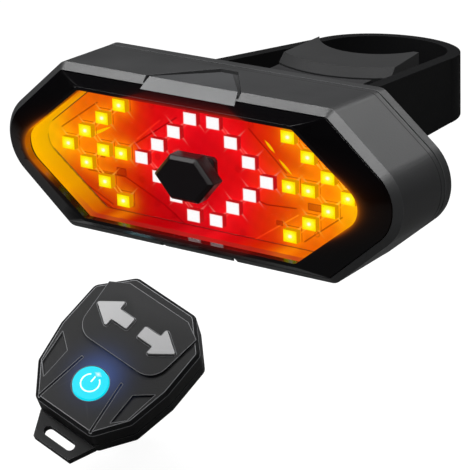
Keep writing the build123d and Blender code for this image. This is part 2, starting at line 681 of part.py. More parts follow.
# Remote top shell: bevelled, raised key plate, flank panels, grooves, key holes, hollow below
with BuildPart() as remote_top_shell:
    extrude(face_outline(shell_foot), amount=shell_height)
    chamfer(remote_top_shell.faces().sort_by(face_axis)[-1].edges(), shell_bevel)
    with BuildSketch(remote_face.offset(face_level)) as key_plate:
        Polygon((face_top_half, key_plate_top + key_plate_corner / 2), (key_plate_half, key_plate_top),
                (key_plate_low_half, key_plate_low), (-key_plate_low_half, key_plate_low),
                (-key_plate_half, key_plate_top), (-face_top_half, key_plate_top + key_plate_corner / 2),
                align=None)
        fillet(key_plate.vertices().group_by(Axis.Y)[0], key_plate_corner)
    extrude(amount=plate_raise)
    with BuildSketch(remote_face.offset(face_level)):
        for side in (-1, 1):
            Polygon((side * (face_waist_half - 2.4 * shell_bevel), face_waist - 2 * shell_bevel),
                    (side * (groove_half + 2.6 * shell_bevel), groove_top - shell_bevel),
                    (side * (groove_half + 2.8 * shell_bevel), face_low - 3 * shell_bevel),
                    (side * (face_low_half - 1.6 * shell_bevel), face_low), align=None)
    extrude(amount=-panel_sunk, mode=Mode.SUBTRACT)
    with BuildSketch(remote_face.offset(face_level)):
        for side in (-1, 1):
            Polygon((side * groove_half, face_foot), (side * (groove_half + groove_wide), face_foot),
                    (side * (groove_top_half + groove_wide), groove_top),
                    (side * groove_top_half, groove_top), align=None)
    extrude(amount=-groove_sunk, mode=Mode.SUBTRACT)
    extrude(face_outline(face_level - shell_top, -shell_wall), amount=-shell_height, mode=Mode.SUBTRACT)
    with BuildSketch(remote_face.offset(shell_foot)):
        with Locations(*remote_screw_places):
            Circle(remote_boss_radius)
    extrude(amount=shell_height - shell_top)
    with BuildSketch(remote_face.offset(shell_foot)):
        with Locations(*remote_screw_places):
            Circle(remote_screw_radius)
    extrude(amount=shell_height - shell_top, mode=Mode.SUBTRACT)
    for side in (-1, 1):
        extrude(arrow_outline(overrun, side, key_gap), amount=-2 * overrun, mode=Mode.SUBTRACT)
    extrude(disc(overrun, 0, power_mid, power_radius + key_gap), amount=-2 * overrun, mode=Mode.SUBTRACT)
remote_top_shell.part.label = "remote_top_shell"

# Remote base: tray with the lanyard loop and the lugs that the band hooks on
loop_low = face_foot - loop_reach
lug_level = base_foot - lug_drop
with BuildPart() as remote_base:
    extrude(face_outline(base_foot), amount=base_height)
    chamfer(remote_base.faces().sort_by(face_axis)[0].edges(), shell_bevel)
    extrude(face_outline(base_foot + shell_wall, -shell_wall), amount=base_height, mode=Mode.SUBTRACT)
    with BuildSketch(remote_face.offset(base_foot + shell_bevel)):
        Polygon((loop_half, face_foot + face_corner), (loop_half, face_foot),
                (loop_end_half, loop_low), (-loop_end_half, loop_low), (-loop_half, face_foot),
                (-loop_half, face_foot + face_corner), align=None)
        with Locations((0, face_foot - loop_reach / 2)):
            SlotOverall(loop_slot_long, loop_slot_wide, mode=Mode.SUBTRACT)
    extrude(amount=loop_thick)
    extrude(face_outline(base_foot + shell_wall, -shell_wall), amount=base_height, mode=Mode.SUBTRACT)
    with BuildSketch(remote_face.offset(base_foot)):
        with Locations(*remote_screw_places):
            Circle(remote_boss_radius)
    extrude(amount=base_height)
    with BuildSketch(remote_face.offset(base_foot)):
        with Locations(*remote_screw_places):
            Circle(remote_screw_radius + screw_gap)
    extrude(amount=base_height, mode=Mode.SUBTRACT)
    with BuildSketch(remote_face.offset(base_foot)):
        with Locations(*remote_screw_places):
            Circle(remote_screw_head + screw_gap)
    extrude(amount=shell_wall / 2, mode=Mode.SUBTRACT)
    for side in (-1, 1):
        for end in (-1, 1):
            with BuildSketch(remote_side.offset(side * (band_half + seat_gap + lug_wall / 2) - lug_wall / 2)):
                with Locations((end * lug_reach, lug_level)):
                    Circle(lug_radius + lug_wall)
                with Locations((end * lug_reach, (lug_level + base_foot) / 2)):
                    Rectangle(2 * (lug_radius + lug_wall), lug_drop)
            extrude(amount=lug_wall)
    with BuildSketch(remote_side.offset(-band_half - seat_gap)):
        with Locations((-lug_reach, lug_level), (lug_reach, lug_level)):
            Circle(lug_radius)
    extrude(amount=2 * (band_half + seat_gap))
remote_base.part.label = "remote_base"

with BuildPart() as remote_seal:
    extrude(face_outline(shell_foot - remote_seal_thick, -shell_wall / 4), amount=remote_seal_thick)
    extrude(face_outline(shell_foot - remote_seal_thick, -shell_wall), amount=remote_seal_thick,
            mode=Mode.SUBTRACT)
remote_seal.part.label = "remote_seal"

# Board, switches, coin cell and its clip
board_level = shell_foot + seat_gap
with BuildPart() as remote_board:
    extrude(face_outline(board_level, -shell_wall - remote_board_inset), amount=remote_board_thick)
    with BuildSketch(remote_face.offset(board_level)):
        with Locations(*remote_screw_places):
            Circle(remote_boss_radius + slide_gap)
    extrude(amount=remote_board_thick, mode=Mode.SUBTRACT)
remote_board.part.label = "remote_board"

board_top = board_level + remote_board_thick
arrow_pill = (arrow_inner + arrow_neck) / 2
with BuildPart() as remote_switches:
    with BuildSketch(remote_face.offset(board_top)):
        with Locations((arrow_pill, arrow_mid), (-arrow_pill, arrow_mid), (0, power_mid)):
            Rectangle(remote_switch_side, remote_switch_side)
    extrude(amount=remote_switch_height)
remote_switches.part.label = "remote_switches"

with BuildPart() as cell_clip:
    with BuildSketch(remote_face.offset(board_level - clip_thick)):
        with Locations((0, coin_mid)):
            Rectangle(2 * coin_radius - clip_wide, clip_wide)
            Rectangle(clip_wide, 2 * coin_radius - clip_wide)
    extrude(amount=clip_thick)
cell_clip.part.label = "cell_clip"

with BuildPart() as coin_cell:
    extrude(disc(board_level - clip_thick, 0, coin_mid, coin_radius), amount=-coin_thick)
coin_cell.part.label = "coin_cell"

with BuildPart() as remote_screws:
    with BuildSketch(remote_face.offset(base_foot)):
        with Locations(*remote_screw_places):
            Circle(remote_screw_head)
    extrude(amount=shell_wall / 2)
    with BuildSketch(remote_face.offset(base_foot)):
        with Locations(*remote_screw_places):
            Circle(remote_screw_radius - screw_gap / 2)
    extrude(amount=remote_screw_length)
remote_screws.part.label = "remote_screws"

# Keys: each has a cap through the shell, a flange under it and a pill over its switch
flange_level = face_level - shell_top - seat_gap
pill_end = board_top + remote_switch_height + key_travel + seat_gap


def arrow_key(side):
    """One arrow key."""
    with BuildPart() as key:
        extrude(arrow_outline(flange_level, side), amount=key_proud - flange_level)
        extrude(arrow_outline(flange_level - key_flange_thick, side, key_flange), amount=key_flange_thick)
        extrude(disc(flange_level, side * arrow_pill, arrow_mid, pill_radius), amount=pill_end - flange_level)
    return key.part


left_arrow_button = arrow_key(-1)
left_arrow_button.label = "left_arrow_button"
right_arrow_button = arrow_key(1)
right_arrow_button.label = "right_arrow_button"

with BuildPart() as power_button:
    extrude(disc(flange_level, 0, power_mid, power_radius), amount=face_level + power_proud - flange_level)
    extrude(disc(flange_level, 0, power_mid, power_radius + key_flange), amount=-key_flange_thick)
    extrude(disc(flange_level, 0, power_mid, pill_radius), amount=pill_end - flange_level)
power_button.part.label = "power_button"

# Rubber pad under the remote, and the band that closes under it
with BuildPart() as remote_pad:
    with BuildSketch(remote_side.offset(-pad_half)):
        with BuildLine():
            Polyline((-pad_span, base_foot), (pad_span, base_foot), (pad_span, base_foot - pad_skirt),
                     (-pad_span, base_foot - pad_skirt), close=True)
        make_face()
        with Locations((0, bore_level)):
            Circle(bore_radius, mode=Mode.SUBTRACT)
    extrude(amount=2 * pad_half)
remote_pad.part.label = "remote_pad"

band_outer = bore_radius + band_thick
with BuildPart() as remote_band:
    with BuildSketch(remote_side.offset(-band_half)):
        with Locations((0, bore_level)):
            Circle(band_outer)
            Circle(bore_radius, mode=Mode.SUBTRACT)
        with Locations((0, bore_level - band_outer / 2)):
            Rectangle(2 * band_outer, band_outer, mode=Mode.INTERSECT)
        for side in (-1, 1):
            Polygon((side * bore_radius, bore_level), (side * band_outer, bore_level),
                    (side * (lug_reach + band_thick / 2), lug_level),
                    (side * (lug_reach - band_thick / 2), lug_level), align=None)
        with Locations((-lug_reach, lug_level), (lug_reach, lug_level)):
            Circle(lug_radius + eye_gap + band_eye_wall)
            Circle(lug_radius + eye_gap, mode=Mode.SUBTRACT)
    extrude(amount=2 * band_half)
remote_band.part.label = "remote_band"

pieces = {
    "front_housing": front_housing.part, "rear_cover": rear_cover.part, "front_cover": front_cover.part,
    "clear_lens": clear_lens.part, "light_surround": light_surround.part, "top_trim": top_trim.part,
    "bottom_trim": bottom_trim.part, "housing_seal": housing_seal.part, "led_board": led_board.part,
    "red_leds": red_leds, "left_amber_leds": left_amber_leds, "right_amber_leds": right_amber_leds,
    "board_chips": board_chips.part, "radio_module": radio_module.part, "mode_switch": mode_switch.part,
    "mode_button": mode_button.part, "usb_socket": usb_socket.part, "usb_cover": usb_cover.part,
    "battery_cradle": battery_cradle.part, "battery_cell": battery_cell.part, "battery_pad": battery_pad.part,
    "case_screws": case_screws.part, "strap_bracket": strap_bracket.part, "rubber_strap": rubber_strap.part,
    "saddle_pad": saddle_pad.part, "remote_top_shell": remote_top_shell.part, "remote_base": remote_base.part,
    "remote_seal": remote_seal.part, "remote_board": remote_board.part,
    "remote_switches": remote_switches.part, "cell_clip": cell_clip.part, "coin_cell": coin_cell.part,
    "remote_screws": remote_screws.part, "left_arrow_button": left_arrow_button,
    "right_arrow_button": right_arrow_button, "power_button": power_button.part,
    "remote_pad": remote_pad.part, "remote_band": remote_band.part,
}
for name, piece in pieces.items():
    export_step(piece, f"parts/{name}.step")
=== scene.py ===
import bmesh
import bpy
import json
import math
from mathutils import Matrix, Vector


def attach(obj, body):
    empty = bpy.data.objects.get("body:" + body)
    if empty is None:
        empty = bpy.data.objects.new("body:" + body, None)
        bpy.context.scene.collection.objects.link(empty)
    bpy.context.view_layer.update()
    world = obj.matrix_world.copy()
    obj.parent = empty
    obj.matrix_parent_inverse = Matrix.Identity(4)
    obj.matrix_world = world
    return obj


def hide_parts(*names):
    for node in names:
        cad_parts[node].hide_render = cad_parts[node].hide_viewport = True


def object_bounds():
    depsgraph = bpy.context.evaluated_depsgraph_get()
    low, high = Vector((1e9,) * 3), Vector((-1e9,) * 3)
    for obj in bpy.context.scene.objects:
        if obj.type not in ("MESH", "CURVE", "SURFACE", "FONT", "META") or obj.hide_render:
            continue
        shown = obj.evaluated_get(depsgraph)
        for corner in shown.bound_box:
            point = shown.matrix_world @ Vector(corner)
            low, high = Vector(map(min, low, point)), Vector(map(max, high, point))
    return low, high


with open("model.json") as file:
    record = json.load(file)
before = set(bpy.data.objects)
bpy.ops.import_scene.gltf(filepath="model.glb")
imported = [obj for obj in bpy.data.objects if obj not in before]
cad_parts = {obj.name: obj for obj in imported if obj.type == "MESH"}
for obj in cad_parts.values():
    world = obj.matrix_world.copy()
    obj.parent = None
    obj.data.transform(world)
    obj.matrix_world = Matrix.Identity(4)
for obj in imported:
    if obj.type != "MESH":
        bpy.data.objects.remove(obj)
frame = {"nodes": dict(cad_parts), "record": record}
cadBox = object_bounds()
nodes = frame["nodes"]
record = frame["record"]
bodyOf = {node: body for body, members in record["behaviour"]["bodies"].items()
          for node in members}
slotOf = {entry["node"]: entry["material_slot"] for entry in record["subparts"]}
mm = 0.001
print("frame loaded,", len(nodes), "nodes")


# helpers for node trees, materials and objects

def addNode(tree, kind, **values):
    node = tree.nodes.new(kind)
    for key, value in values.items():
        setattr(node, key, value)
    return node


def mathNode(tree, operation, *values):
    node = addNode(tree, "ShaderNodeMath", operation=operation)
    for i, value in enumerate(values):
        if isinstance(value, (int, float)):
            node.inputs[i].default_value = value
        else:
            tree.links.new(value, node.inputs[i])
    return node.outputs[0]


def setInputs(node, values):
    for key, value in values.items():
        node.inputs[key].default_value = value


def newMaterial(name):
    mat = bpy.data.materials.new(name)
    mat.use_nodes = True
    return mat, mat.node_tree, mat.node_tree.nodes["Principled BSDF"]


def newMesh(name, points, faces):
    mesh = bpy.data.meshes.new(name)
    mesh.from_pydata(points, [], faces)
    return mesh


def newObject(name, data):
    thing = bpy.data.objects.new(name, data)
    bpy.context.scene.collection.objects.link(thing)
    return thing


def addPiece(name, mesh, mat, body):
    piece = newObject(name, mesh)
    mesh.materials.append(mat)
    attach(piece, body)
    return piece


# view

view = {
    "lens": 199.15,                    # mm, for the 36 mm sensor below
    "sensor": 36.0,
    "azimuth": 36.03,                  # degrees
    "elevation": 20.29,
    "roll": -1.95,
    "place": (0.3266, -0.5128, 0.1855),
    "clip": (0.01, 20),
}


def addCamera():
    turn = math.radians(view["azimuth"])
    lift = math.radians(view["elevation"])
    roll = math.radians(view["roll"])
    back = Vector((math.sin(turn) * math.cos(lift), -math.cos(turn) * math.cos(lift),
                   math.sin(lift)))
    level = Vector((math.cos(turn), math.sin(turn), 0))
    upright = back.cross(level)
    right = level * math.cos(roll) + upright * math.sin(roll)
    up = upright * math.cos(roll) - level * math.sin(roll)
    data = bpy.data.cameras.new("viewCamera")
    data.lens = view["lens"]
    data.sensor_width = view["sensor"]
    data.clip_start, data.clip_end = view["clip"]
    camera = newObject("viewCamera", data)
    turned = Matrix((right, up, back)).transposed().to_4x4()
    camera.matrix_world = Matrix.Translation(view["place"]) @ turned
    bpy.context.scene.camera = camera


addCamera()


# studio

studio = {
    "floorDrop": 0.004,                # floor below the lowest piece
    "floorSize": 4.0,
    "floorColor": (0.14, 0.14, 0.14),
    "floorRoughness": 0.9,
    "floorSpecular": 0.1,
    "floorLift": 0.95,                 # what the camera sees besides the floor's own colour
    "ambient": 0.003,
    "lamps": [                         # name, place, aims at, size, watts
        ("softTop", (-0.05, 0.2, 0.85), (0, -0.05, 0), 0.5, 4.8),
        ("bevelStrip", (-0.5, -0.38, 0.66), (0, -0.07, 0.02), 0.3, 3.7),
        ("shoulderStrip", (0.29, -0.54, 0.65), (0.04, -0.07, 0), 0.2, 3.8),
        ("softSide", (0.5, -0.05, 0.72), (0.05, -0.06, 0), 0.3, 1.0),
        ("tipGlint", (-0.75, -0.5, 0.2), (-0.05, -0.07, 0), 0.16, 0.5),
        ("rimBack", (0.17, 0.65, 0.53), (0, -0.02, 0), 0.3, 0.9),
    ],
}


def addFloor():
    level = cadBox[0][2] - studio["floorDrop"]
    half = studio["floorSize"] / 2
    corners = [(-half, -half, level), (half, -half, level),
               (half, half, level), (-half, half, level)]
    floor = newObject("floor", newMesh("floor", corners, [(0, 1, 2, 3)]))
    mat, tree, shader = newMaterial("paleFloor")
    setInputs(shader, {
        "Base Color": (*studio["floorColor"], 1),
        "Roughness": studio["floorRoughness"],
        "Specular IOR Level": studio["floorSpecular"],
        "Emission Color": (1, 1, 1, 1),
    })
    path = addNode(tree, "ShaderNodeLightPath")
    lift = mathNode(tree, "MULTIPLY", path.outputs["Is Camera Ray"], studio["floorLift"])
    tree.links.new(lift, shader.inputs["Emission Strength"])
    floor.data.materials.append(mat)


def addSky():
    world = bpy.data.worlds.new("studioWorld")
    world.use_nodes = True
    bpy.context.scene.world = world
    tree = world.node_tree
    sky = tree.nodes["Background"]
    sky.inputs["Color"].default_value = (1, 1, 1, 1)
    path = addNode(tree, "ShaderNodeLightPath")
    seen = mathNode(tree, "MAXIMUM", path.outputs["Is Camera Ray"],
                    path.outputs["Is Transmission Ray"])
    level = addNode(tree, "ShaderNodeMapRange")
    setInputs(level, {"To Min": studio["ambient"], "To Max": 1.0})
    tree.links.new(seen, level.inputs["Value"])
    tree.links.new(level.outputs[0], sky.inputs["Strength"])


def addLamps():
    for name, place, target, size, watts in studio["lamps"]:
        data = bpy.data.lights.new(name, "AREA")
        data.size = size
        data.energy = watts
        aim = (Vector(place) - Vector(target)).to_track_quat("Z", "Y")
        lamp = newObject(name, data)
        lamp.matrix_world = Matrix.Translation(place) @ aim.to_matrix().to_4x4()


addFloor()
addSky()
addLamps()
bpy.context.scene.view_settings.view_transform = "Standard"
print("camera and studio placed")


# finishes: mottled colour, fine grain, uneven gloss and paler edges, worn, and on the remote shell
# also a painted edge highlight

moulded = {                            # what a finish has unless its own look says otherwise
    "mottleScale": 90,
    "mottleDetail": 5,
    "spread": 0.12,                    # share that the colour strays each way
    "wearAndHighlight": 0.25,                      # share of the paler colour on the edges: wear, and on the remote shell a painted edge highlight
    "wearFrom": 0.52,                  # pointiness where wear starts, and where it is full
    "wearTo": 0.62,
    "paleGain": 2.2,
    "paleLift": 0.01,
    "grain": 0.25,
    "grainScale": 2600,
    "grainDetail": 3,
    "grainDepth": 0.00006,
    "glossSpread": (0.88, 1.14),
    "metal": 0,
    "specular": 0.5,
    "coat": 0,
    "coatRoughness": 0.1,
    "sheen": 0,
}


def makeMaterial(name, look):
    look = {**moulded, **look}
    color, spread = look["color"], look["spread"]
    mat, tree, shader = newMaterial(name)
    place = addNode(tree, "ShaderNodeTexCoord")
    mottle = addNode(tree, "ShaderNodeTexNoise")
    setInputs(mottle, {"Scale": look["mottleScale"], "Detail": look["mottleDetail"]})
    tree.links.new(place.outputs["Object"], mottle.inputs["Vector"])
    tint = addNode(tree, "ShaderNodeMix", data_type="RGBA")
    setInputs(tint, {"A": (*[c * (1 - spread) for c in color], 1),
                     "B": (*[min(1, c * (1 + spread)) for c in color], 1)})
    tree.links.new(mottle.outputs["Fac"], tint.inputs["Factor"])

    # paler colour on pointy edges: wear, and on the remote shell a painted edge highlight
    edge = addNode(tree, "ShaderNodeNewGeometry")
    sharp = addNode(tree, "ShaderNodeMapRange")
    setInputs(sharp, {"From Min": look["wearFrom"], "From Max": look["wearTo"],
                      "To Max": look["wearAndHighlight"]})
    tree.links.new(edge.outputs["Pointiness"], sharp.inputs["Value"])
    paler = tuple(min(1, c * look["paleGain"] + look["paleLift"]) for c in color)
    wornAndLitEdge = addNode(tree, "ShaderNodeMix", data_type="RGBA")
    setInputs(wornAndLitEdge, {"B": (*look.get("wornColor", paler), 1)})
    tree.links.new(sharp.outputs[0], wornAndLitEdge.inputs["Factor"])
    tree.links.new(tint.outputs["Result"], wornAndLitEdge.inputs["A"])
    tree.links.new(wornAndLitEdge.outputs["Result"], shader.inputs["Base Color"])

    grain = addNode(tree, "ShaderNodeTexNoise")
    setInputs(grain, {"Scale": look["grainScale"], "Detail": look["grainDetail"]})
    tree.links.new(place.outputs["Object"], grain.inputs["Vector"])
    bump = addNode(tree, "ShaderNodeBump")
    setInputs(bump, {"Strength": look["grain"], "Distance": look["grainDepth"]})
    tree.links.new(grain.outputs["Fac"], bump.inputs["Height"])
    tree.links.new(bump.outputs["Normal"], shader.inputs["Normal"])

    smooth, rough = look["glossSpread"]
    gloss = addNode(tree, "ShaderNodeMapRange")
    setInputs(gloss, {"To Min": look["roughness"] * smooth,
                      "To Max": min(1, look["roughness"] * rough)})
    tree.links.new(mottle.outputs["Fac"], gloss.inputs["Value"])
    tree.links.new(gloss.outputs[0], shader.inputs["Roughness"])
    setInputs(shader, {
        "Base Color": (*color, 1),
        "Metallic": look["metal"],
        "Specular IOR Level": look["specular"],
        "Coat Weight": look["coat"],
        "Coat Roughness": look["coatRoughness"],
        "Sheen Weight": look["sheen"],
    })
    return mat


finishes = {
    "casing": {"color": (0.036, 0.0365, 0.0375), "roughness": 0.4, "grain": 0.3, "wearAndHighlight": 0.3,
               "specular": 0.55},
    "gloss_cover": {"color": (0.0022, 0.002, 0.0024), "roughness": 0.1, "grain": 0.02,
                    "wearAndHighlight": 0.05, "specular": 0.2, "grainScale": 500},
    "trim": {"color": (0.052, 0.053, 0.055), "roughness": 0.38, "grain": 0.3, "wearAndHighlight": 0.4,
             "specular": 0.6},
    "seal": {"color": (0.012, 0.012, 0.012), "roughness": 0.75, "grain": 0.3},
    "inner_plastic": {"color": (0.5, 0.48, 0.45), "roughness": 0.5, "grain": 0.2},
    "board": {"color": (0.10, 0.03, 0.02), "roughness": 0.45, "grain": 0.4, "grainScale": 1600},
    "light_package": {"color": (0.8, 0.75, 0.6), "roughness": 0.4, "grain": 0.1},
    "electronics": {"color": (0.02, 0.02, 0.022), "roughness": 0.5, "grain": 0.3},
    "metal": {"color": (0.55, 0.55, 0.56), "roughness": 0.3, "metal": 1, "grain": 0.2,
              "grainScale": 4000},
    "cell_wrap": {"color": (0.5, 0.51, 0.53), "roughness": 0.35, "metal": 0.8, "grain": 0.3,
                  "grainScale": 700},
    "button": {"color": (0.006, 0.004, 0.005), "roughness": 0.36, "grain": 0.15, "wearAndHighlight": 0.3,
               "specular": 0.2},
    "rubber": {"color": (0.0085, 0.0087, 0.0093), "roughness": 0.62, "grain": 0.5,
               "grainScale": 1800, "wearAndHighlight": 0.2, "specular": 0.4, "sheen": 0.05},
    "bracket": {"color": (0.012, 0.012, 0.013), "roughness": 0.5, "grain": 0.35},
    # the remote shell's strong paler edges are partly a painted edge highlight
    "remote_shell": {"color": (0.0075, 0.0077, 0.0083), "roughness": 0.46, "grain": 0.6,
                     "grainScale": 2000, "wearAndHighlight": 0.5, "specular": 0.3},
    "key_silicone": {"color": (0.47, 0.47, 0.475), "roughness": 0.6, "grain": 0.5,
                     "grainScale": 1500, "spread": 0.06, "wornColor": (0.72, 0.72, 0.72)},
    "power_key": {"color": (0.0, 0.06, 0.08), "roughness": 0.35, "grain": 0.2},
    "screw": {"color": (0.12, 0.12, 0.125), "roughness": 0.35, "metal": 1, "grain": 0.3},
}
strapLook = {"color": (0.0045, 0.0046, 0.005), "specular": 0.12, "sheen": 0}
litEdgeLooks = {                          # painted highlight: paler copies of the finish for the rounded edges, which catch more light than the faces
    "remote_shell": ("remoteEdgePaintedHighlight", {"color": (0.16, 0.162, 0.168), "specular": 0.6,
                                          "grain": 0.3}),
    "casing": ("casingEdgePaintedHighlight", {"color": (0.06, 0.061, 0.063)}),
}
clearWindow = {
    "Base Color": (1, 1, 1, 1),
    "Roughness": 0.0,
    "Transmission Weight": 1,
    "IOR": 1.0,
    "Coat Weight": 0.12,
    "Coat Roughness": 0.05,
}


def makeClearWindow():
    mat, tree, shader = newMaterial("clearWindowFinish")
    setInputs(shader, clearWindow)
    return mat


materials = {slot: makeMaterial(slot + "Finish", look) for slot, look in finishes.items()}
materials["clear_window"] = makeClearWindow()
for name, node in nodes.items():
    node.data.materials.clear()
    node.data.materials.append(materials[slotOf[name]])
strapFinish = makeMaterial("strapRubberFinish", {**finishes["rubber"], **strapLook})
paintedEdgeHighlights = {slot: makeMaterial(name, {**finishes[slot], **look})
                for slot, (name, look) in litEdgeLooks.items()}
print("finishes made:", len(materials) + 1 + len(paintedEdgeHighlights))


# rounded moulded skins over the CAD solids

skins = {                              # node: width of its moulded edge rounding, in mm
    "front_housing": 0.4, "rear_cover": 0.3, "front_cover": 0.15, "top_trim": 0.12,
    "bottom_trim": 0.12, "mode_button": 0.2, "strap_bracket": 0.3, "rubber_strap": 0.45,
    "saddle_pad": 0.5, "usb_cover": 0.15, "remote_top_shell": 0.38, "remote_base": 0.4,
    "left_arrow_button": 0.25, "right_arrow_button": 0.25, "power_button": 0.15,
    "remote_pad": 0.4, "remote_band": 0.35,
}
skinLook = {
    "weld": 0.002,                     # mm between points that are one
    "flatAngle": 0.4,                  # degrees, faces joined below it
    "roundAngle": 28.0,                # edges rounded above it
    "sharpAngle": 32.0,
    "segments": 2,
    "flatWeight": 80,
    "edgeIndex": 1,                    # material indices
    "grooveIndex": 2,
}


def weldFlat(bm):
    bmesh.ops.remove_doubles(bm, verts=bm.verts, dist=skinLook["weld"] * mm)
    bmesh.ops.dissolve_limit(bm, angle_limit=math.radians(skinLook["flatAngle"]),
                             verts=bm.verts, edges=bm.edges)


def cutAcross(bm, level, **options):
    return bmesh.ops.bisect_plane(bm, geom=bm.verts[:] + bm.edges[:] + bm.faces[:],
                                  plane_co=(0, level * mm, 0), plane_no=(0, 1, 0), **options)


def takeMesh(bm):
    bm.verts.index_update()
    points = [tuple(v.co) for v in bm.verts]
    faces = [[v.index for v in f.verts] for f in bm.faces]
    bm.free()
    return points, faces


housing = {                            # mm
    "ringLimit": -78.9,                # the hairline ring under the gloss cover lies before it
    "ringFacing": 0.99,
    "shoulderX": (35.0, 38.5),
    "shoulderZ": 16.5,
    "shoulderLength": 8.0,
    "shoulderAlong": 0.95,
    "shoulderAngle": 25.0,             # degrees
    "shoulderRounding": 1.1,
    "shoulderSegments": 4,
    "groove": (-62.2, -61.9),          # second parting line
}


def dropRing(bm):
    ring = [f for f in bm.faces if f.normal.y < -housing["ringFacing"]
            and f.calc_center_median().y < housing["ringLimit"] * mm]
    bmesh.ops.delete(bm, geom=ring, context="FACES")


def isShoulder(edge):
    low, high = housing["shoulderX"]
    a, b = (v.co / mm for v in edge.verts)
    middle, span = (a + b) / 2, b - a
    return (low < abs(middle.x) < high and abs(middle.z) > housing["shoulderZ"]
            and span.length > housing["shoulderLength"]
            and abs(span.y) > housing["shoulderAlong"] * span.length
            and edge.calc_face_angle(0) > math.radians(housing["shoulderAngle"]))


def roundShoulders(bm):
    edges = [edge for edge in bm.edges if isShoulder(edge)]
    print("shoulder edges rounded:", len(edges))
    bmesh.ops.bevel(bm, geom=edges, offset=housing["shoulderRounding"] * mm,
                    segments=housing["shoulderSegments"], profile=0.5, affect="EDGES")


def cutGroove(bm):
    front, back = housing["groove"]
    cutAcross(bm, front)
    cutAcross(bm, back)
    marked = set()
    for face in bm.faces:
        middle = face.calc_center_median()
        outward = face.normal.dot(Vector((middle.x, 0, middle.z))) > 0
        if front * mm < middle.y < back * mm and outward:
            marked.add(face)
    return marked


def cleanMesh(name):
    bm = bmesh.new()
    bm.from_mesh(nodes[name].data)
    marked = []
    if name == "front_housing":
        dropRing(bm)
    weldFlat(bm)
    if name == "front_housing":
        roundShoulders(bm)
        marked = cutGroove(bm)
    kinds = [skinLook["grooveIndex"] if f in marked else 0 for f in bm.faces]
    mesh = newMesh(name + "Skin", *takeMesh(bm))
    mesh.polygons.foreach_set("material_index", kinds)
    return mesh


trim = {                               # mm: the tongue laps the gloss cover, its apex lies lower
    "tongueFrom": -78.5,
    "tongueTo": (-80.35, 17.15),
    "tongueWiden": 1.08,
    "apexFrom": -77.0,
    "apexAbove": 19.0,
    "apexSink": 0.5,
}


def shapeTrim(mesh):
    y, z = trim["tongueTo"]
    for v in mesh.vertices:
        if v.co.y < trim["tongueFrom"] * mm:
            v.co = (v.co.x * trim["tongueWiden"], y * mm, z * mm)
        elif v.co.y > trim["apexFrom"] * mm and v.co.z > trim["apexAbove"] * mm:
            v.co.z -= trim["apexSink"] * mm


button = {                             # mm: cap and stem, as they show through the window
    "back": -78.8,
    "stemRadius": 1.7,
    "stemDrop": 0.8,
    "stemSides": 24,
}


def stemRing(bm, y):
    radius, count = button["stemRadius"], button["stemSides"]
    turns = (2 * math.pi * i / count for i in range(count))
    return [bm.verts.new((radius * mm * math.cos(a), y,
                          (radius * math.sin(a) - button["stemDrop"]) * mm)) for a in turns]


def shortenButton(mesh):
    bm = bmesh.new()
    bm.from_mesh(mesh)
    stemEnd = max(v.co.y for v in bm.verts)
    cut = cutAcross(bm, button["back"], clear_outer=True)
    rim = [part for part in cut["geom_cut"] if isinstance(part, bmesh.types.BMEdge)]
    bmesh.ops.edgeloop_fill(bm, edges=rim)
    near = stemRing(bm, button["back"] * mm)
    far = stemRing(bm, stemEnd)
    for i in range(len(near)):
        j = (i + 1) % len(near)
        bm.faces.new((near[i], far[i], far[j], near[j]))
    bm.faces.new(near)
    bm.faces.new(far[::-1])
    bmesh.ops.recalc_face_normals(bm, faces=bm.faces[:])
    bm.to_mesh(mesh)
    bm.free()


def bakeMesh(piece):
    bpy.context.view_layer.update()
    graph = bpy.context.evaluated_depsgraph_get()
    done = bpy.data.meshes.new_from_object(piece.evaluated_get(graph))
    piece.modifiers.clear()
    return done


def addSkin(name, rounding):
    mesh = cleanMesh(name)
    if name == "top_trim":
        shapeTrim(mesh)
    if name == "mode_button":
        shortenButton(mesh)
    slot = slotOf[name]
    skin = newObject(name + "_skin", mesh)
    bevel = skin.modifiers.new("rounding", "BEVEL")
    bevel.width = rounding * mm
    bevel.segments = skinLook["segments"]
    bevel.limit_method = "ANGLE"
    bevel.angle_limit = math.radians(skinLook["roundAngle"])
    bevel.use_clamp_overlap = True
    # painted highlight: the rounded edges take the paler copy of the finish
    if slot in paintedEdgeHighlights:
        bevel.material = skinLook["edgeIndex"]
        for mat in (materials[slot], paintedEdgeHighlights[slot], materials["seal"]):
            skin.data.materials.append(mat)
    skin.data = bakeMesh(skin)
    for face in skin.data.polygons:
        face.use_smooth = True
    skin.data.set_sharp_from_angle(angle=math.radians(skinLook["sharpAngle"]))
    flat = skin.modifiers.new("flatness", "WEIGHTED_NORMAL")
    flat.keep_sharp = True
    flat.weight = skinLook["flatWeight"]
    skin.data = bakeMesh(skin)
    if slot not in paintedEdgeHighlights:
        skin.data.materials.append(strapFinish if name == "rubber_strap" else materials[slot])
    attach(skin, bodyOf[name])
    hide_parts(name)


for name, rounding in skins.items():
    addSkin(name, rounding)
print("skins rounded:", len(skins))


# colours that glow from the mesh itself

glowRoughness = 0.6


def makeGlow(name):
    mat, tree, shader = newMaterial(name)
    paint = addNode(tree, "ShaderNodeAttribute", attribute_name="glow")
    tree.links.new(paint.outputs["Color"], shader.inputs["Emission Color"])
    setInputs(shader, {"Emission Strength": 1.0, "Base Color": (0, 0, 0, 1),
                       "Roughness": glowRoughness, "Specular IOR Level": 0})
    return mat


def paintMesh(mesh, colors):
    layer = mesh.color_attributes.new("glow", "FLOAT_COLOR", "POINT")
    layer.data.foreach_set("color", [c for color in colors for c in (*color, 1.0)])


def addGlowMesh(name, points, faces, colors, glow, slot):
    mesh = newMesh(name, points, faces)
    paintMesh(mesh, colors)
    return addPiece(name, mesh, makeGlow(glow), "lamp")


def unitShare(value):
    return min(1, max(0, value))


def blendColor(a, b, t):
    return tuple(a[i] + (b[i] - a[i]) * t for i in range(3))


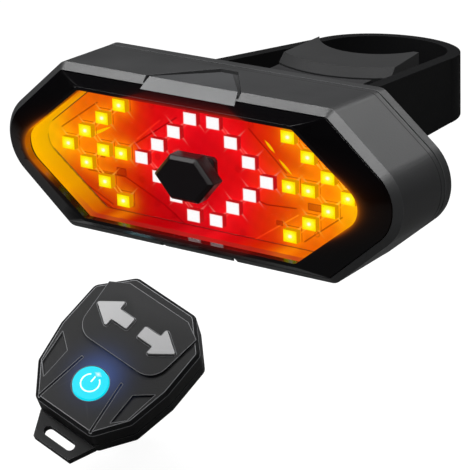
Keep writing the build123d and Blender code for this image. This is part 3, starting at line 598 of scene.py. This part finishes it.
def rampColor(ramp, at):
    for (near, nearColor), (far, farColor) in zip(ramp, ramp[1:]):
        if at <= far:
            return blendColor(nearColor, farColor, max(0, (at - near) / (far - near)))
    return ramp[-1][1]


# light packages, in mm from the middle of the lights

lights = {
    "plane": -75.0,                    # light-giving faces
    "lift": 0.03,                      # lit squares before them
    "steps": 12,
    "drop": 0.8,                       # below the lamp's middle
    "redColumns": (3.12, 4.68),        # first column and pitch
    "rowPitch": 3.8,
    "amberTip": 38.3,
    "amberPitch": (5.1, 3.8),
    "width": 3.5,
    "height": 2.8,
    "redRamp": [(0.0, (1.0, 1.0, 1.0)), (0.84, (1.0, 0.97, 0.97)), (1.0, (1.0, 0.5, 0.5))],
    "amberRamp": [(0.0, (1.0, 1.0, 1.0)), (0.16, (1.0, 1.0, 0.75)), (0.36, (1.0, 0.96, 0.05)),
                  (0.85, (1.0, 0.88, 0.0)), (1.0, (1.0, 0.74, 0.0))],
    "redSquareness": 14,
    "amberSquareness": 2.4,
    "redSide": (0.5, 0.005, 0.007),
    "amberSide": (0.72, 0.27, 0.0),
}


def findRedPlaces():
    first, pitch = lights["redColumns"]
    row = lights["rowPitch"]
    places = [(side * (first + step * pitch), rise * (3 - step) * row)
              for step in range(3) for side in (-1, 1) for rise in (-1, 1)]
    return places + [(side * (first + 3 * pitch), 0.0) for side in (-1, 1)]


def findAmberPlaces():
    tip = lights["amberTip"]
    across, row = lights["amberPitch"]
    arms = [(tip - step * across, rise * step * row) for step in (1, 2, 3) for rise in (-1, 1)]
    shaft = [(tip - step * across, 0.0) for step in (0, 2, 3)]
    return [(side * x, z) for side in (-1, 1) for x, z in arms + shaft]


redPlaces = findRedPlaces()
amberPlaces = findAmberPlaces()


def addLitFaces(name, places, ramp, squareness):
    points, faces, colors = [], [], []
    front = (lights["plane"] - lights["lift"]) * mm
    steps = lights["steps"]
    for x, z in places:
        start = len(points)
        for row in range(steps + 1):
            for column in range(steps + 1):
                u, v = column / steps * 2 - 1, row / steps * 2 - 1
                points.append(((x + u * lights["width"] / 2) * mm, front,
                               (z - lights["drop"] + v * lights["height"] / 2) * mm))
                out = (abs(u) ** squareness + abs(v) ** squareness) ** (1 / squareness)
                colors.append(rampColor(ramp, min(1, out)))
        for row in range(steps):
            for column in range(steps):
                a = start + row * (steps + 1) + column
                faces.append((a, a + 1, a + steps + 2, a + steps + 1))
    addGlowMesh(name, points, faces, colors, name + "Glow", "light_package")


def lightPackages(name, color):
    mat = materials["light_package"].copy()
    mat.name = name + "Package"
    tree = mat.node_tree
    shader = tree.nodes["Principled BSDF"]
    tree.links.remove(shader.inputs["Base Color"].links[0])
    setInputs(shader, {"Specular IOR Level": 0, "Base Color": (0, 0, 0, 1),
                       "Emission Color": (*color, 1), "Emission Strength": 1.0})
    nodes[name].data.materials[0] = mat


addLitFaces("red_lit_faces", redPlaces, lights["redRamp"], lights["redSquareness"])
addLitFaces("amber_lit_faces", amberPlaces, lights["amberRamp"], lights["amberSquareness"])
lightPackages("red_leds", lights["redSide"])
lightPackages("left_amber_leds", lights["amberSide"])
lightPackages("right_amber_leds", lights["amberSide"])


# board: a sheet of painted light before it, red in the middle and amber at its ends, with painted
# halos round the lights and painted shade at the lower left

boardGlow = {
    "pitch": 0.4,                      # mm between the points of the sheet
    "front": -73.56,                   # mm, just before the board
    "reach": 48.0,                     # mm, outline of the sheet
    "shoulder": 28.7,
    "rise": 15.1,
    "tip": 45.9,
    "tipCurve": 0.02,
    "shift": 2.0,                      # mm that the colours lie to the left
    "ramp": [                          # distance from the middle, colour
        (0.0, (0.70, 0.001, 0.006)), (12.0, (0.74, 0.003, 0.004)), (17.0, (0.74, 0.018, 0.001)),
        (22.0, (0.76, 0.048, 0.001)), (28.0, (0.84, 0.11, 0.001)), (35.0, (0.93, 0.17, 0.001)),
        (41.0, (1.0, 0.43, 0.001)), (44.0, (1.0, 0.49, 0.001)), (60.0, (1.0, 0.53, 0.001)),
    ],
    "level": 0.95,
    "ripples": ((0.03, 0.9, 1.7), (0.02, 2.3, -1.1)),    # gain, waves across and up
    # painted shade: the lower left of the sheet is kept darker
    "low": {"from": -2.0, "until": 4.0, "fade": 7.0, "keep": (0.74, 0.3, 0.6)},
    # painted halos of light round the packages
    "halos": [                         # places, colour, radius, gain
        (redPlaces, (0.9, 0.012, 0.02), 2.8, 0.35),
        (amberPlaces, (0.9, 0.5, 0.0), 2.7, 0.45),
    ],
    "haloEnd": 3,                      # radii
}


def glowAt(x, z):
    color = rampColor(boardGlow["ramp"], abs(x + boardGlow["shift"]))
    ripple = boardGlow["level"]
    for gain, across, up in boardGlow["ripples"]:
        ripple += gain * math.sin(x * across + z * up)
    # painted shade towards the lower left
    low = boardGlow["low"]
    depth = (unitShare((low["from"] - z) / low["fade"])
             * unitShare((low["until"] - x) / low["fade"]))
    color = [c * ripple * (1 - depth + depth * k) for c, k in zip(color, low["keep"])]
    for places, halo, reach, gain in boardGlow["halos"]:
        for px, pz in places:
            away = math.hypot(x - px, z - pz)
            if away < boardGlow["haloEnd"] * reach:
                share = gain * math.exp(-(away / reach) ** 2)
                color = [c + share * h for c, h in zip(color, halo)]
    return tuple(color)


def addBoardGlow():
    pitch, reach, rise = boardGlow["pitch"], boardGlow["reach"], boardGlow["rise"]
    slope = (reach - boardGlow["shoulder"]) / rise
    columns, rows = int(2 * reach / pitch), int(2 * rise / pitch)
    index, points, colors = {}, [], []
    for row in range(rows + 1):
        z = (row / rows * 2 - 1) * rise
        half = min(reach - abs(z) * slope, boardGlow["tip"] - z * z * boardGlow["tipCurve"])
        for column in range(columns + 1):
            x = (column / columns * 2 - 1) * half
            index[row, column] = len(points)
            points.append((x * mm, boardGlow["front"] * mm, z * mm))
            colors.append(glowAt(x, z + lights["drop"]))
    faces = [(index[r, c], index[r, c + 1], index[r + 1, c + 1], index[r + 1, c])
             for r in range(rows) for c in range(columns)]
    addGlowMesh("board_glow", points, faces, colors, "boardGlow", "board")


addBoardGlow()


# board detail: edges, tracks, vias, small parts and glints, in mm from the middle of the lights;
# the dark lines and pocket edges are painted shade, the pale lines painted highlights and the
# glints painted light

detail = {
    "lift": 0.04,                      # strips before the sheet, and glints
    "glintLift": 0.08,
    "step": 1.2,
    "taperEnd": 0.02,
    "shadeRed": 0.12,                  # red fades less than the rest where it is shaded
    # painted shade: dark lines where the board's grooves lie
    "darkLines": [
        [(-7.7, 10.7), (-20.0, 2.4)], [(-34.0, -6.1), (-23.1, -6.0), (-12.2, -10.8), (-6.5, -14.5)],
        [(11.7, 11.3), (21.6, 2.5)], [(13.0, -5.0), (16.1, -5.7), (24.0, -5.2)],
        [(-41.2, 3.1), (-30.2, 10.7)], [(-43.2, -7.4), (-26.3, -14.8), (-18.0, -14.9)],
        [(-42.0, -6.3), (-27.0, -13.4)], [(27.0, 8.9), (37.4, 1.2)], [(25.8, -12.6), (36.0, -5.0)],
    ],
    "lineWidth": 0.3,
    "lineShade": 0.38,
    # painted highlights: pale strips near the dark lines, for a raised look
    "paleLines": [
        [(-12.4, 9.3), (-19.4, 3.6)], [(24.5, -6.6), (12.5, -14.6)], [(-6.8, 8.7), (-2.0, 13.6)],
    ],
    "paleGain": (1.25, 1.9, 1.0),
    "paleLift": (0.0, 0.012, 0.004),
    "streaks": [
        [(-33.6, 2.0), (-26.6, 5.4)], [(16.0, 9.2), (18.6, 6.7)], [(19.6, 5.4), (23.0, 2.4)],
    ],
    "streakWidth": 0.75,
    "streakColor": (1.0, 0.62, 0.0),
    "streakShare": 0.8,
    "pocketGap": (0.45, 0.5),          # pocket edges above and right of the amber packages, as painted shade
    "pocketWidth": 0.2,
    "pocketShade": 0.42,
    "parts": [                         # x, z, width, height
        (-24.2, -5.0, 2.6, 1.7), (28.8, -4.1, 3.4, 1.5), (-29.6, -1.9, 1.6, 0.8),
        (19.4, -9.4, 1.6, 0.9),
    ],
    "partShade": 0.55,
    "rimWidth": 0.18,
    "rimShade": 0.25,
    "vias": [
        (-14.8, 12.3), (-13.6, 0.4), (-18.4, -5.8), (-14.2, -10.9), (-21.6, -12.4), (8.6, 1.2),
        (13.6, -3.6), (12.4, 12.2), (-9.6, -12.9), (9.4, -13.6), (29.2, -10.2), (-31.0, -9.6),
    ],
    "viaRadius": 0.62,
    "viaSides": 12,
    "viaWidth": 0.2,
    "viaShade": 0.5,
    "holeHalf": 0.3,
    "holeHigh": 0.5,
    "holeShade": 0.75,
    # painted glints: star rays from each light
    "glint": (0.3, 5.2),               # width at its foot and length
    "glintSlant": 1.41,
    "glintNear": 2.2,
    "glintShare": 0.45,
    "glintLimit": (42.0, 15.0),
    "redGlint": (1.0, 0.35, 0.3),
    "amberGlint": (1.0, 0.8, 0.1),
}


def shaded(share):
    return lambda color: (color[0] * (share + detail["shadeRed"]), color[1] * share,
                          color[2] * share)


def paled(color):
    red, green, blue = (c * gain + lift for c, gain, lift
                        in zip(color, detail["paleGain"], detail["paleLift"]))
    return min(1, red), green, blue


def streaked(color):
    return blendColor(color, detail["streakColor"], detail["streakShare"])


def addStrip(sheet, line, width, tint, taper=False):
    points, faces, colors = sheet
    level = (boardGlow["front"] - detail["lift"]) * mm
    end = detail["taperEnd"]
    for (ax, az), (bx, bz) in zip(line, line[1:]):
        length = math.hypot(bx - ax, bz - az)
        nx, nz = (az - bz) / length, (bx - ax) / length
        count = max(2, int(length / detail["step"]))
        base = len(points)
        for i in range(count + 1):
            t = i / count
            x, z = ax + (bx - ax) * t, az + (bz - az) * t
            narrow = math.sin(math.pi * min(1 - end, max(end, t))) if taper else 1
            half = width / 2 * narrow
            for side in (-1, 1):
                points.append(((x + side * nx * half) * mm, level,
                               (z + side * nz * half - lights["drop"]) * mm))
                colors.append(tint(glowAt(x, z)))
        for i in range(count):
            a = base + 2 * i
            faces.append((a, a + 1, a + 3, a + 2))


# painted shade along the top and right of each amber package
def addPockets(sheet):
    besideGap, aboveGap = detail["pocketGap"]
    wide, high = lights["width"] / 2, lights["height"] / 2
    for x, z in amberPlaces:
        left, right, top = x - wide, x + wide + besideGap, z + high + aboveGap
        addStrip(sheet, [(left, top), (right, top), (right, z - high)],
                 detail["pocketWidth"], shaded(detail["pocketShade"]))


def addParts(sheet):
    for x, z, wide, high in detail["parts"]:
        left, right, low, top = x - wide / 2, x + wide / 2, z - high / 2, z + high / 2
        addStrip(sheet, [(left, z), (right, z)], high, shaded(detail["partShade"]))
        addStrip(sheet, [(left, low), (right, low), (right, top), (left, top), (left, low)],
                 detail["rimWidth"], shaded(detail["rimShade"]))


def addVias(sheet):
    radius, half, sides = detail["viaRadius"], detail["holeHalf"], detail["viaSides"]
    for x, z in detail["vias"]:
        ring = [(x + radius * math.cos(a), z + radius * math.sin(a))
                for a in (math.pi * i / (sides / 2) for i in range(sides + 1))]
        addStrip(sheet, ring, detail["viaWidth"], shaded(detail["viaShade"]))
        addStrip(sheet, [(x - half, z), (x + half, z)], detail["holeHigh"],
                 shaded(detail["holeShade"]))


def addGlint(sheet, x, z, sx, sz, color):
    points, faces, colors = sheet
    foot, length = detail["glint"]
    slant, near = detail["glintSlant"], detail["glintNear"]
    farX, farZ = detail["glintLimit"]
    ex, ez = x + sx * length / slant, z + sz * length / slant
    if abs(ez - lights["drop"]) > farZ or abs(ex) > farX:
        return
    base = len(points)
    level = (boardGlow["front"] - detail["glintLift"]) * mm
    for px, pz in ((x + sx * foot, z - sz * foot), (x - sx * foot, z + sz * foot), (ex, ez)):
        points.append((px * mm, level, (pz - lights["drop"]) * mm))
    start = blendColor(glowAt(x + sx * near, z + sz * near), color, detail["glintShare"])
    colors.extend([start, start, glowAt(ex, ez)])
    faces.append((base, base + 1, base + 2))


def addBoardDetail():
    sheet = ([], [], [])
    for line in detail["darkLines"]:
        addStrip(sheet, line, detail["lineWidth"], shaded(detail["lineShade"]))
    for line in detail["paleLines"]:
        addStrip(sheet, line, detail["lineWidth"], paled)
    for line in detail["streaks"]:
        addStrip(sheet, line, detail["streakWidth"], streaked, taper=True)
    addPockets(sheet)
    addParts(sheet)
    addVias(sheet)
    # painted glints, four rays from each light
    for places, color in ((redPlaces, detail["redGlint"]), (amberPlaces, detail["amberGlint"])):
        for x, z in places:
            for sx, sz in ((1, 1), (-1, 1), (1, -1), (-1, -1)):
                addGlint(sheet, x, z, sx, sz, color)
    addGlowMesh("board_detail", *sheet, "boardDetailGlow", "board")


addBoardDetail()
print("board lit")


# light surround: its walls take the colour of the lights near them as painted light, with painted
# shade beside the board and a pale lip of painted light at the front

wallGlow = {
    "back": -73.5,                     # mm
    "front": -78.8,
    "rowLimit": 13.0,                  # mm, colours are read no higher or lower
    "shadow": 0.07,                    # share of the depth that lies in painted shadow beside the board
    "shadowShade": 0.4,
    "lip": 0.86,                       # from this share on the wall is a pale lip of painted light
    "lipColor": (0.36, 0.02, 0.014),
    "lipShare": 0.65,
    "ends": (1.0, 0.48, 0.0),
    "endsFrom": 27.0,                  # mm
    "endsFade": 9.0,
    "endsShare": 0.7,
    "shade": 0.86,
    "shadeRise": 0.12,
    "cut": 1.1,                        # mm, longest edge left
    "rounds": 7,
}


def wallAt(x, y, z):
    depth = (y - wallGlow["back"]) / (wallGlow["front"] - wallGlow["back"])
    limit = wallGlow["rowLimit"]
    color = glowAt(x, max(-limit, min(limit, z + lights["drop"])))
    end = unitShare((abs(x) - wallGlow["endsFrom"]) / wallGlow["endsFade"])
    color = blendColor(color, wallGlow["ends"], end * wallGlow["endsShare"])
    # painted shadow next to the board, a painted lit lip at the front, and painted shade lifting
    # towards the front
    if depth < wallGlow["shadow"] and z < 0:
        return tuple(c * wallGlow["shadowShade"] for c in color)
    if depth > wallGlow["lip"]:
        lip = blendColor(color, wallGlow["lipColor"], wallGlow["lipShare"])
        return blendColor(lip, color, end)
    return tuple(c * (wallGlow["shade"] + wallGlow["shadeRise"] * depth) for c in color)


def lightSurround():
    bm = bmesh.new()
    bm.from_mesh(nodes["light_surround"].data)
    bmesh.ops.remove_doubles(bm, verts=bm.verts, dist=skinLook["weld"] * mm)
    for _ in range(wallGlow["rounds"]):
        longest = [e for e in bm.edges if e.calc_length() > wallGlow["cut"] * mm]
        if not longest:
            break
        bmesh.ops.subdivide_edges(bm, edges=longest, cuts=1)
        bmesh.ops.triangulate(bm, faces=[f for f in bm.faces if len(f.verts) > 3])
    points, faces = takeMesh(bm)
    colors = [wallAt(x / mm, y / mm, z / mm) for x, y, z in points]
    wall = addGlowMesh("light_surround_lit", points, faces, colors, "surroundGlow",
                       "inner_plastic")
    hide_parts("light_surround")


lightSurround()
print("surround lit")


# gloss cover: painted glow, the lights' colour spilling onto its faces round the window

spill = {
    "rise": 0.0152,                    # window outline, in metres
    "shoulder": 0.029,
    "reach": 0.0483,
    "tip": 0.0452,                     # the window's rounded ends
    "tipCurve": 124.0,
    "fall": 3.0,
    "width": 0.0016,
    "strength": 0.42,
    "below": 0.1,                      # share left on the face under the window
    "belowFrom": 0.86,                 # share of the rise where it starts
    "hazeWidth": 0.0075,               # the wide faint part
    "hazeStrength": 0.018,
    "rampReach": 0.048,
    "ramp": [                          # share of that reach, colour
        (0.0, (0.9, 0.01, 0.01)), (1.0, (1.0, 0.25, 0.0)),
        (0.4, (0.9, 0.03, 0.0)), (0.68, (0.95, 0.13, 0.0)),
    ],
}


def spillGap(tree, out, high):
    dx, dz = spill["rise"], spill["reach"] - spill["shoulder"]
    length = math.hypot(dx, dz)
    slope = mathNode(tree, "ADD", mathNode(tree, "MULTIPLY", out, dx / length),
                     mathNode(tree, "MULTIPLY", high, dz / length))
    beyond = mathNode(tree, "SUBTRACT", slope, spill["reach"] * dx / length)
    above = mathNode(tree, "SUBTRACT", high, spill["rise"])
    square = mathNode(tree, "MULTIPLY", high, high)
    curve = mathNode(tree, "MULTIPLY", square, spill["tipCurve"])
    ahead = mathNode(tree, "SUBTRACT", mathNode(tree, "ADD", out, curve), spill["tip"])
    edge = mathNode(tree, "MAXIMUM", mathNode(tree, "MAXIMUM", beyond, above), ahead)
    return mathNode(tree, "MAXIMUM", edge, 0.0)


def spillFade(tree, gap, width, strength):
    steep = mathNode(tree, "MULTIPLY", gap, -spill["fall"] / width)
    return mathNode(tree, "MULTIPLY", mathNode(tree, "EXPONENT", steep), strength)


def addSpill(mat):
    tree = mat.node_tree
    shader = tree.nodes["Principled BSDF"]
    place = addNode(tree, "ShaderNodeTexCoord")
    split = addNode(tree, "ShaderNodeSeparateXYZ")
    tree.links.new(place.outputs["Object"], split.inputs[0])
    out = mathNode(tree, "ABSOLUTE", split.outputs["X"])
    high = mathNode(tree, "ABSOLUTE", split.outputs["Z"])
    gap = spillGap(tree, out, high)
    low = addNode(tree, "ShaderNodeMapRange")
    setInputs(low, {"From Min": -spill["rise"], "From Max": -spill["belowFrom"] * spill["rise"],
                    "To Min": spill["below"]})
    tree.links.new(split.outputs["Z"], low.inputs["Value"])
    near = mathNode(tree, "MULTIPLY", spillFade(tree, gap, spill["width"], spill["strength"]),
                    low.outputs[0])
    haze = spillFade(tree, gap, spill["hazeWidth"], spill["hazeStrength"])

    ramp = addNode(tree, "ShaderNodeValToRGB")
    stops = ramp.color_ramp.elements
    for i, (at, color) in enumerate(spill["ramp"]):
        stop = stops[i] if i < 2 else stops.new(at)
        stop.color = (*color, 1)
    share = mathNode(tree, "DIVIDE", out, spill["rampReach"])
    tree.links.new(share, ramp.inputs["Fac"])
    tree.links.new(ramp.outputs["Color"], shader.inputs["Emission Color"])
    tree.links.new(mathNode(tree, "ADD", near, haze), shader.inputs["Emission Strength"])


# painted glow on the gloss cover round the window
addSpill(materials["gloss_cover"])
print("spill light added")


# remote: its own plane, in mm

remote = {
    "place": (-100.5, 15.0, -99.5),
    "tilt": 21.0,                      # degrees
    "lean": 36.0,
}


def remotePoint(x, y, z):
    tilt, lean = math.radians(remote["tilt"]), math.radians(remote["lean"])
    along = Vector((math.cos(tilt), 0, -math.sin(tilt)))
    out = Vector((math.sin(tilt) * math.cos(lean), -math.sin(lean),
                  math.cos(tilt) * math.cos(lean)))
    across = out.cross(along)
    return (Vector(remote["place"]) + along * x + across * y + out * z) * mm


# remote's top shell: thin pale ridges where its faces break, on the edges that face up: painted
# highlights

edgeHighlight = {
    "radius": 0.13,                    # mm
    "sunk": 0.05,
    "flatten": 0.5,
    "proud": 0.9,
    "sides": 6,
    "sharper": 22.0,                   # degrees
    "facing": 0.7,
}


def getsEdgeHighlight(edge, up):
    if len(edge.link_faces) != 2 or not edge.is_convex:
        return False
    if edge.calc_face_angle(0) < math.radians(edgeHighlight["sharper"]):
        return False
    return max(f.normal.dot(up) for f in edge.link_faces) >= edgeHighlight["facing"]


def addEdgeHighlights():
    bm = bmesh.new()
    bm.from_mesh(nodes["remote_top_shell"].data)
    weldFlat(bm)
    up = (remotePoint(0, 0, 1) - remotePoint(0, 0, 0)).normalized()
    radius, sides = edgeHighlight["radius"] * mm, edgeHighlight["sides"]
    points, faces = [], []
    for edge in bm.edges:
        if not getsEdgeHighlight(edge, up):
            continue
        a, b = (v.co.copy() for v in edge.verts)
        along = (b - a).normalized()
        out = (edge.link_faces[0].normal + edge.link_faces[1].normal).normalized()
        side = along.cross(out)
        middle = -out * (radius + edgeHighlight["sunk"] * mm - radius * edgeHighlight["proud"])
        base = len(points)
        for end in (a, b):
            for turn in range(sides):
                angle = math.pi * turn / (sides / 2)
                spoke = out * math.cos(angle) * edgeHighlight["flatten"] + side * math.sin(angle)
                points.append(end + middle + spoke * radius)
        for turn in range(sides):
            after = (turn + 1) % sides
            faces.append((base + turn, base + after, base + sides + after, base + sides + turn))
    bm.free()
    # painted highlight along the upward-facing edges
    addPiece("remote_edge_highlights", newMesh("remoteEdgeHighlights", points, faces),
             paintedEdgeHighlights["remote_shell"], bodyOf["remote_top_shell"])
    print("remote edge lines:", len(faces) // sides)


addEdgeHighlights()


# power key: lit disc with a plain ring-and-bar mark and a spark, a painted flare, with painted glow
# on the shell round it

powerKey = {
    "middle": (0.0, -11.2),
    "top": -0.3,
    "glow": (0.0, 0.85, 1.05),
    "strength": 0.85,
}
mark = {
    "radius": 2.75,
    "width": 0.42,
    "gap": 34.0,                       # degrees to each side of the bar
    "bar": (0.3, 3.1),
    "lift": 0.03,
    "steps": 48,
    "color": (0.8, 0.95, 1),
    "glow": (0.4, 0.9, 1),
}
flare = {
    "at": (0.25, -7.9),
    "lift": 0.06,
    "steps": 32,
    "radius": 0.5,
    "spoke": 0.35,
    "spokeSharpness": 8,
    "colors": [(0.95, 1.0, 1.0), (0.35, 0.92, 1.0), (0.0, 0.78, 0.97)],    # from its middle out
    "shellColor": (0.08, 0.2, 0.75),   # painted glow on the shell round it, for the camera only
    "shellReach": 0.0062,
    "shellStrength": 0.3,
}


def addPowerMark():
    cx, cy = powerKey["middle"]
    level = powerKey["top"] + mark["lift"]
    steps, half = mark["steps"], mark["width"] / 2
    start, stop = math.radians(90 + mark["gap"]), math.radians(450 - mark["gap"])
    points = []
    for i in range(steps + 1):
        a = start + (stop - start) * i / steps
        for r in (mark["radius"] - half, mark["radius"] + half):
            points.append(remotePoint(cx + r * math.cos(a), cy + r * math.sin(a), level))
    faces = [(2 * i, 2 * i + 1, 2 * i + 3, 2 * i + 2) for i in range(steps)]
    low, high = mark["bar"]
    base = len(points)
    for x, y in ((-half, low), (half, low), (half, high), (-half, high)):
        points.append(remotePoint(cx + x, cy + y, level))
    faces.append((base, base + 1, base + 2, base + 3))
    mat, tree, shader = newMaterial("powerMarkGlow")
    setInputs(shader, {"Base Color": (*mark["color"], 1), "Emission Color": (*mark["glow"], 1),
                       "Emission Strength": 1.0})
    addPiece("power_mark", newMesh("powerMark", points, faces), mat, "power_button")


def addFlare():
    cx, cy = flare["at"]
    level = powerKey["top"] + flare["lift"]
    steps = flare["steps"]
    points, faces, colors = [remotePoint(cx, cy, level)], [], [flare["colors"][0]]
    for ring in (1, 2):
        for i in range(steps):
            a = 2 * math.pi * i / steps
            spoke = max(0, math.cos(2 * a)) ** flare["spokeSharpness"]
            r = ring * (flare["radius"] + flare["spoke"] * spoke)
            points.append(remotePoint(cx + r * math.cos(a), cy + r * math.sin(a), level))
            colors.append(flare["colors"][ring])
    for i in range(steps):
        j = (i + 1) % steps
        faces.append((0, 1 + i, 1 + j))
        faces.append((1 + i, 1 + steps + i, 1 + steps + j, 1 + j))
    mesh = newMesh("keyFlare", points, faces)
    paintMesh(mesh, colors)
    addPiece("key_flare", mesh, makeGlow("keyFlareGlow"), "power_button")


def addShellGlow(mat):
    tree = mat.node_tree
    shader = tree.nodes["Principled BSDF"]
    place = addNode(tree, "ShaderNodeTexCoord")
    away = addNode(tree, "ShaderNodeVectorMath", operation="DISTANCE")
    tree.links.new(place.outputs["Object"], away.inputs[0])
    away.inputs[1].default_value = remotePoint(*flare["at"], powerKey["top"])
    far = mathNode(tree, "DIVIDE", away.outputs["Value"], flare["shellReach"])
    square = mathNode(tree, "MULTIPLY", far, far)
    fall = mathNode(tree, "EXPONENT", mathNode(tree, "MULTIPLY", square, -1.0))
    path = addNode(tree, "ShaderNodeLightPath")
    seen = mathNode(tree, "MULTIPLY", fall, path.outputs["Is Camera Ray"])
    strength = mathNode(tree, "MULTIPLY", seen, flare["shellStrength"])
    shader.inputs["Emission Color"].default_value = (*flare["shellColor"], 1)
    tree.links.new(strength, shader.inputs["Emission Strength"])


def lightPowerKey(mat):
    tree = mat.node_tree
    shader = tree.nodes["Principled BSDF"]
    shader.inputs["Emission Color"].default_value = (*powerKey["glow"], 1)
    path = addNode(tree, "ShaderNodeLightPath")
    power = mathNode(tree, "MULTIPLY", path.outputs["Is Camera Ray"], powerKey["strength"])
    tree.links.new(power, shader.inputs["Emission Strength"])


addPowerMark()
# painted flare on the key and painted glow on the shell
addFlare()
addShellGlow(materials["remote_shell"])
lightPowerKey(materials["power_key"])
print("remote lit")
